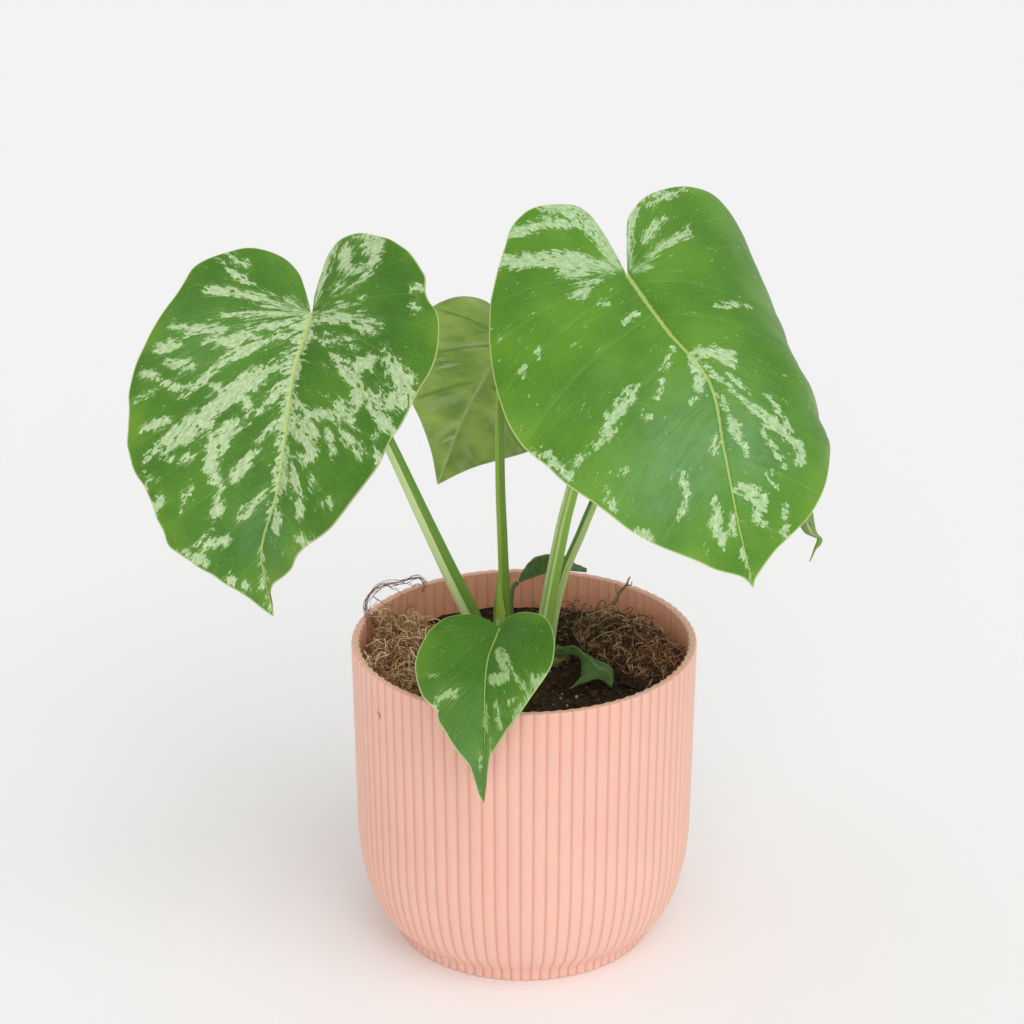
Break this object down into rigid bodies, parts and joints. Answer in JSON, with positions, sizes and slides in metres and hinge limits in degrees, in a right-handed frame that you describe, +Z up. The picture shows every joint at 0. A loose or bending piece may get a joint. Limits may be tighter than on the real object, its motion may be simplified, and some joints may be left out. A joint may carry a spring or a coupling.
{
  "type": "potted swiss cheese plant",
  "caption": "Young variegated swiss cheese plant with heart-shaped leaves on long stalks, in a fluted round cover pot filled with potting mix.",
  "frame": {"origin": "centre of the pot's foot, on the surface it stands on", "axes": "+Z up, -Y towards the front, +X to the right as seen from the front"},
  "size_m": [0.3151, 0.1827, 0.3543],
  "materials": {
    "pot": "satin",
    "soil": "matte",
    "coir": "matte",
    "moss": "matte",
    "leaf": "satin",
    "dark_leaf": "satin",
    "petiole": "satin",
    "root": "matte"
  },
  "bodies": {
    "root": {"pot": "pot", "soil": "soil", "coir_clump": "coir", "moss_mound": "moss", "stem": "petiole", "blade_left": "leaf", "blade_right": "leaf", "blade_front": "leaf", "blade_back": "leaf", "blade_back_right": "leaf", "petiole_left": "petiole", "petiole_right": "petiole", "petiole_back": "petiole", "petiole_back_right": "petiole", "petiole_front": "petiole", "petiole_curled": "dark_leaf", "blade_curled": "dark_leaf", "blade_young": "dark_leaf", "root_loop": "root", "twig": "root"}
  },
  "joints": []
}
